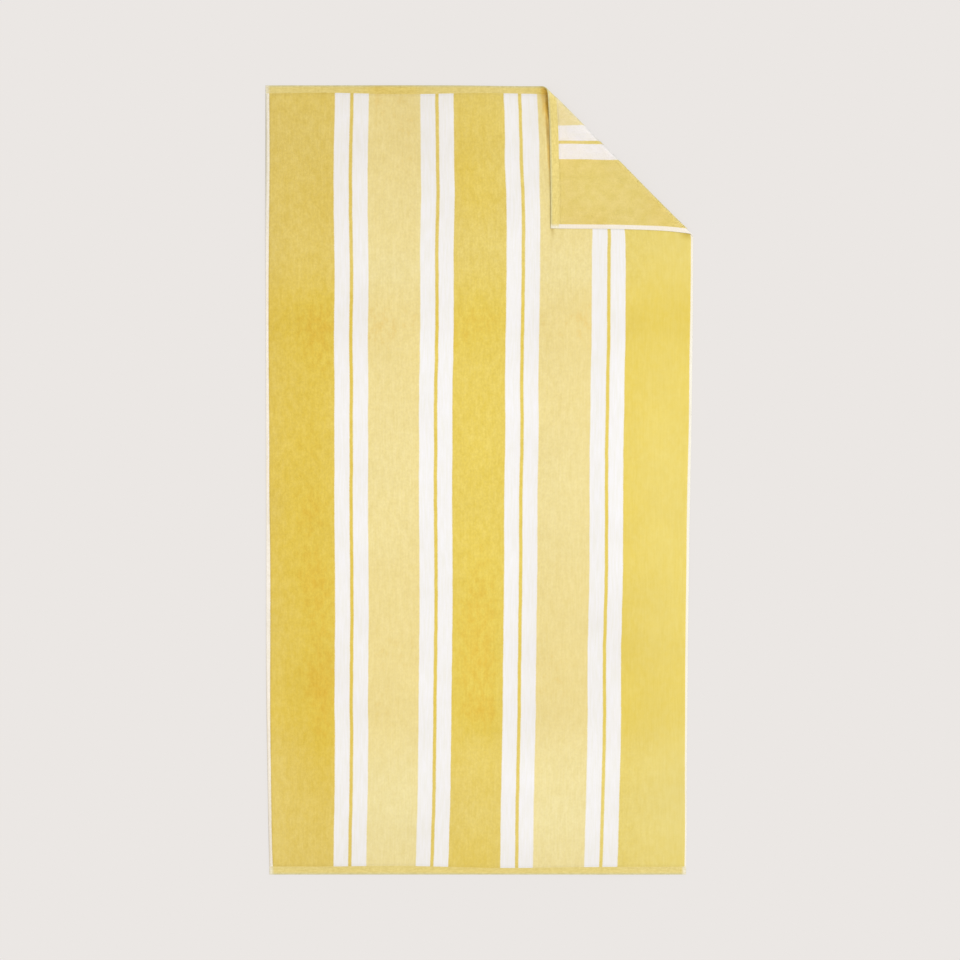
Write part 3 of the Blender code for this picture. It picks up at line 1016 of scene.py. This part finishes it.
def hemMaterial():
    nodes = Nodes("cotton flat weave, hem")
    across, down = nodes.acrossAndDown()
    fromMiddle = nodes.math("ABSOLUTE", nodes.math("SUBTRACT", across, halfWidth))
    fromEnd = nodes.math("MINIMUM", down, nodes.math("SUBTRACT", towelLength, down))
    colour = nodes.mix(nodes.ranged(fromEnd, *flatWeave["edgeByEnd"]), rgba("hem"), rgba("hemEdgeShaded"))
    end = nodes.ranged(fromMiddle, *(halfWidth - inset for inset in flatWeave["hemEnds"]), 0, 1)
    colour = nappedAndShaded(nodes, nodes.mix(end, colour, rgba("hemEnd")))
    slubs = grain(nodes, "slub")
    colour = grained(nodes, colour, "slub", value=slubs)
    colour = grained(nodes, colour, "cloud")
    colour = grained(nodes, colour, "weft")
    height = weaveHeight(nodes, flatWeave["hemPitch"], slubs, flatWeave["slubHeight"])
    return finishCotton(nodes, "hem", colour, height)


def selvedgeMaterial():
    nodes = Nodes("cotton flat weave, selvedge")
    ribs = grain(nodes, "rib")
    colour = grained(nodes, nappedAndShaded(nodes, rgba("selvedge")), "rib", value=ribs)
    height = weaveHeight(nodes, flatWeave["selvedgePitch"], ribs, flatWeave["ribHeight"])
    return finishCotton(nodes, "selvedge", colour, height)


towelMaterials = [velourMaterial(), loopedMaterial(), hemMaterial(), selvedgeMaterial()]
towel = makeTowel(towelMaterials)
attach(towel, "root")
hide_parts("towel")
print("towel made")


def yarnArches(name, across, down, lean, onBack, yarn, material):
    # short arches of yarn standing on the cloth, one at each place; lean turns them from down to across
    steps = np.linspace(-1, 1, yarn["rings"])
    turns = np.arange(yarn["sides"]) * 2 * np.pi / yarn["sides"]
    step, turn = (grid.ravel() for grid in np.meshgrid(steps, turns, indexing="ij"))
    run, aside = step * yarn["length"] / 2, np.cos(turn) * yarn["thickness"] / 2
    rise = (1 - step ** 2) * yarn["height"] + np.sin(turn) * yarn["thickness"] / 2 - yarn["sunk"]
    sine, cosine = np.sin(lean)[:, None], np.cos(lean)[:, None]
    a = (across[:, None] + run * sine + aside * cosine).ravel()
    d = (down[:, None] + run * cosine - aside * sine).ravel()
    lifts = np.tile(rise, len(across))
    backs = np.repeat(onBack, len(step))
    x, y = planOf(a, d)
    face = lay(x, y, thicknessOf(a, d, False), 1.0, lifts)
    back = lay(x, y, thicknessOf(a, d, True), -1.0, lifts)
    points = np.where(backs[:, None], back, face)

    polygons = []
    sides = yarn["sides"]
    for bit, turnedOver in enumerate(onBack):
        start = bit * len(step)
        for ring in range(yarn["rings"] - 1):
            for side in range(sides):
                first, second = start + ring * sides + side, start + ring * sides + (side + 1) % sides
                corners = (first, second, second + sides, first + sides)
                polygons.append(corners if turnedOver else corners[::-1])
    corner = np.array(polygons).ravel()
    clothUv = np.stack([a, d], -1)
    bakeUv = np.stack([a + bakeMargin, towelLength - d + bakeMargin], -1)
    bakeUv = bakeUv * (1 / (towelLength + 2 * bakeMargin))
    piece = makePiece(name, points, polygons, clothUv[corner], bakeUv[corner], [material])
    addNapAndShade(piece.data, a, d, backs.astype(float))
    piece.data.update()
    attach(piece, "root")
    return piece


hemSeams = {
    "pitch": 0.0027,
    "length": 0.0021,
    "height": 0.00022,
    "thickness": 0.00042,
    "sunk": 0.00012,
    "rings": 5,
    "sides": 6,
    "fromEdge": 0.0030,
    "unevenness": 0.00015,
    "lean": 0.05,
    "backFrom": 0.05,  # share of the bend past which the back shows the stitches
    "seed": 31,
}


def makeHemStitches():
    # lockstitch along both hems; on the back only the turned corner shows it
    inset = towelCut["hem"] - pileRelief["seamInset"]
    across = np.arange(hemSeams["fromEdge"], towelWidth - hemSeams["fromEdge"], hemSeams["pitch"])
    rows = [(across, inset, False), (across, towelLength - inset, False)]
    turned = turnShare(across, np.full(len(across), inset))
    rows.append((across[turned > hemSeams["backFrom"]], inset, True))
    across = np.concatenate([row for row, _, _ in rows])
    down = np.concatenate([np.full(len(row), place) for row, place, _ in rows])
    onBack = np.concatenate([np.full(len(row), back) for row, _, back in rows])
    noise = np.random.default_rng(hemSeams["seed"])
    down += noise.normal(0, hemSeams["unevenness"], len(down))
    lean = math.pi / 2 + noise.normal(0, hemSeams["lean"], len(down))
    return yarnArches("hemStitches", across, down, lean, onBack, hemSeams, threadMaterial())


terryLoops = {
    "pitch": (0.0021, 0.0022),
    "length": 0.0017,
    "height": 0.00080,
    "thickness": 0.00095,
    "sunk": 0.00030,
    "rings": 4,
    "sides": 3,
    "stray": 0.00035,
    "lean": 0.7,
    "pastPull": 0.30,  # how far beyond the pulled cloth they are looked for
    "shownFrom": 0.25,  # share of the bend past which they show
    "seed": 32,
}


def makeTerryLoops():
    # the loops of the back, modelled where the turned corner shows them
    pitchAcross, pitchDown = terryLoops["pitch"]
    reach = cornerBend["pullReach"] + terryLoops["pastPull"]
    stops = np.arange(towelWidth - reach, towelWidth - pileRelief["selvedgeOnBack"], pitchAcross)
    rows = np.arange(towelCut["hem"] + towelCut["pileStep"], reach, pitchDown)
    across, down = (grid.ravel() for grid in np.meshgrid(stops, rows))
    noise = np.random.default_rng(terryLoops["seed"])
    across = across + noise.normal(0, terryLoops["stray"], len(across))
    down = down + noise.normal(0, terryLoops["stray"], len(down))
    lean = noise.normal(0, terryLoops["lean"], len(down))
    shown = turnShare(across, down) > terryLoops["shownFrom"]
    shown &= pastSelvedge(across, down, True) > towelCut["pileStep"] / 2
    across, down, lean = across[shown], down[shown], lean[shown]
    onBack = np.full(len(across), True)
    return yarnArches("terryLoops", across, down, lean, onBack, terryLoops, loopYarnMaterial())


sewnAndLooped = [makeHemStitches(), makeTerryLoops()]
print("stitches and loops made")

studio = {
    "lightColour": (1.0, 0.9615, 0.934),
    "surroundings": 0.831,  # what the floor shows, and the light that comes from all round
    "sunShare": 0.42,  # the rest of the floor's light
    "sunHeight": 68,  # degrees above the floor
    "sunSide": 92,  # degrees from the far end towards the right
    "sunSoftness": 26,
    "floorGlow": 0.70,  # share of the floor's brightness that no shadow takes away
    "floorReach": 40.0,
    "floorDrop": 0.0003,  # the floor lies this far under the towel
    "sensorWidth": 36,
    "cameraHeight": 7.0,
    "frameWidth": 1.9468,
    "cameraPlace": (0.0014, -0.0001),
}


def makeLight(tint, level):
    world = bpy.data.worlds.new("studio")
    world.use_nodes = True
    glow = world.node_tree.nodes["Background"]
    glow.inputs[0].default_value = (*(level * c for c in tint), 1)
    glow.inputs[1].default_value = 1.0
    bpy.context.scene.world = world

    share = studio["sunShare"]
    height, side = math.radians(studio["sunHeight"]), math.radians(studio["sunSide"])
    sun = bpy.data.lights.new("key", "SUN")
    sun.energy = level * share / (1 - share) * math.pi / math.sin(height)
    sun.color = tint
    sun.angle = math.radians(studio["sunSoftness"])
    towards = Vector((math.cos(height) * math.sin(side), math.cos(height) * math.cos(side), math.sin(height)))
    linked("key", sun).rotation_euler = towards.to_track_quat("Z", "Y").to_euler()


def makeFloor(tint, level):
    reach = studio["floorReach"]
    corners = [(-reach, -reach), (reach, -reach), (reach, reach), (-reach, reach)]
    mesh = bpy.data.meshes.new("floor")
    mesh.from_pydata([(*corner, -studio["floorDrop"]) for corner in corners], [], [(0, 1, 2, 3)])
    nodes = Nodes("plain pale floor")
    lit = (1 - studio["sunShare"]) * (1 - studio["floorGlow"])
    glow = (*(level * studio["floorGlow"] * c for c in tint), 1)
    nodes.setShader({"Base Color": (lit, lit, lit, 1), "Roughness": 1.0, "Specular IOR Level": 0.0,
                     "Emission Color": glow, "Emission Strength": 1.0})
    mesh.materials.append(nodes.material)
    return linked("floor", mesh)


def makeCamera():
    lens = bpy.data.cameras.new("camera")
    lens.sensor_width = studio["sensorWidth"]
    lens.lens = studio["sensorWidth"] * studio["cameraHeight"] / studio["frameWidth"]
    camera = linked("camera", lens)
    camera.location = (*studio["cameraPlace"], studio["cameraHeight"])
    bpy.context.scene.camera = camera


makeLight(studio["lightColour"], studio["surroundings"])
floor = makeFloor(studio["lightColour"], studio["surroundings"])
makeCamera()
bpy.context.scene.view_settings.view_transform = "Standard"
print("studio made")
